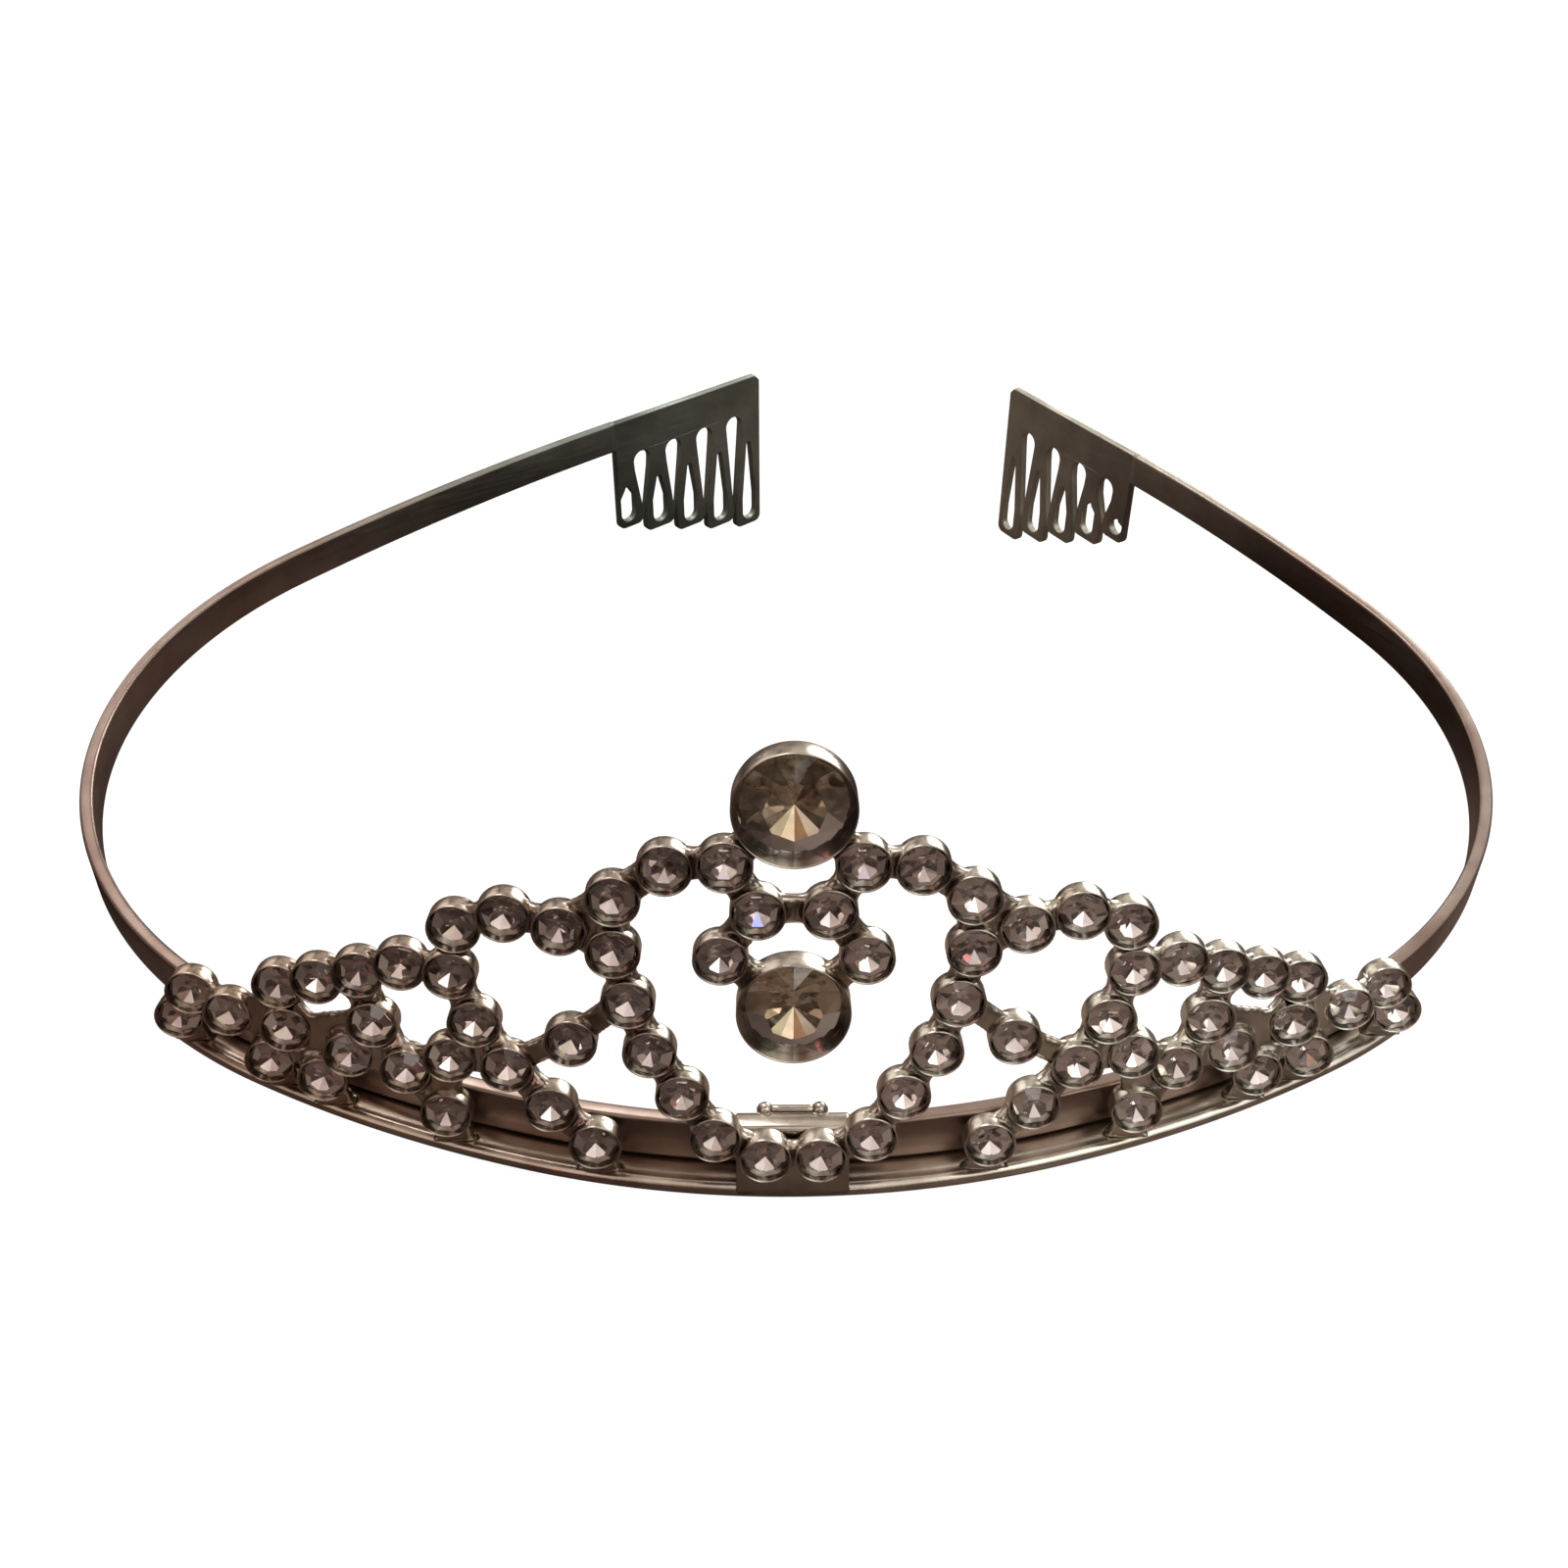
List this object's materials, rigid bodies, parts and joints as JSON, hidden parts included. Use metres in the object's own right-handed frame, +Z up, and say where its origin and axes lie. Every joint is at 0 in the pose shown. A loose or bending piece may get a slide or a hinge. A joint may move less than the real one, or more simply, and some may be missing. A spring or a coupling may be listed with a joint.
{
  "type": "crown headband",
  "caption": "Metal crown headband: a flat strip bent to an open ring with a looped comb at each free end, and an openwork front of cup-set round stones.",
  "frame": {"origin": "middle of the bounding box, on the surface that the ring rests on", "axes": "+X to the wearer's left, as seen from the front on the right; +Y from the crown front to the comb ends; +Z up from the surface"},
  "size_m": [0.135, 0.1407, 0.0365],
  "materials": {
    "band_metal": "plated steel strip, worn dull, dark at the back",
    "cast_metal": "polished silver-coloured casting with a warm grey tone",
    "smoky_glass": "smoky champagne glass, facet cut, foiled behind",
    "clear_glass": "clear glass, facet cut, foiled behind"
  },
  "bodies": {
    "root": {"headband": "band_metal", "crown_front": "cast_metal", "large_stone_top": "smoky_glass", "large_stone_lower": "smoky_glass", "center_stones": "clear_glass", "left_stones": "clear_glass", "right_stones": "clear_glass"}
  },
  "joints": []
}
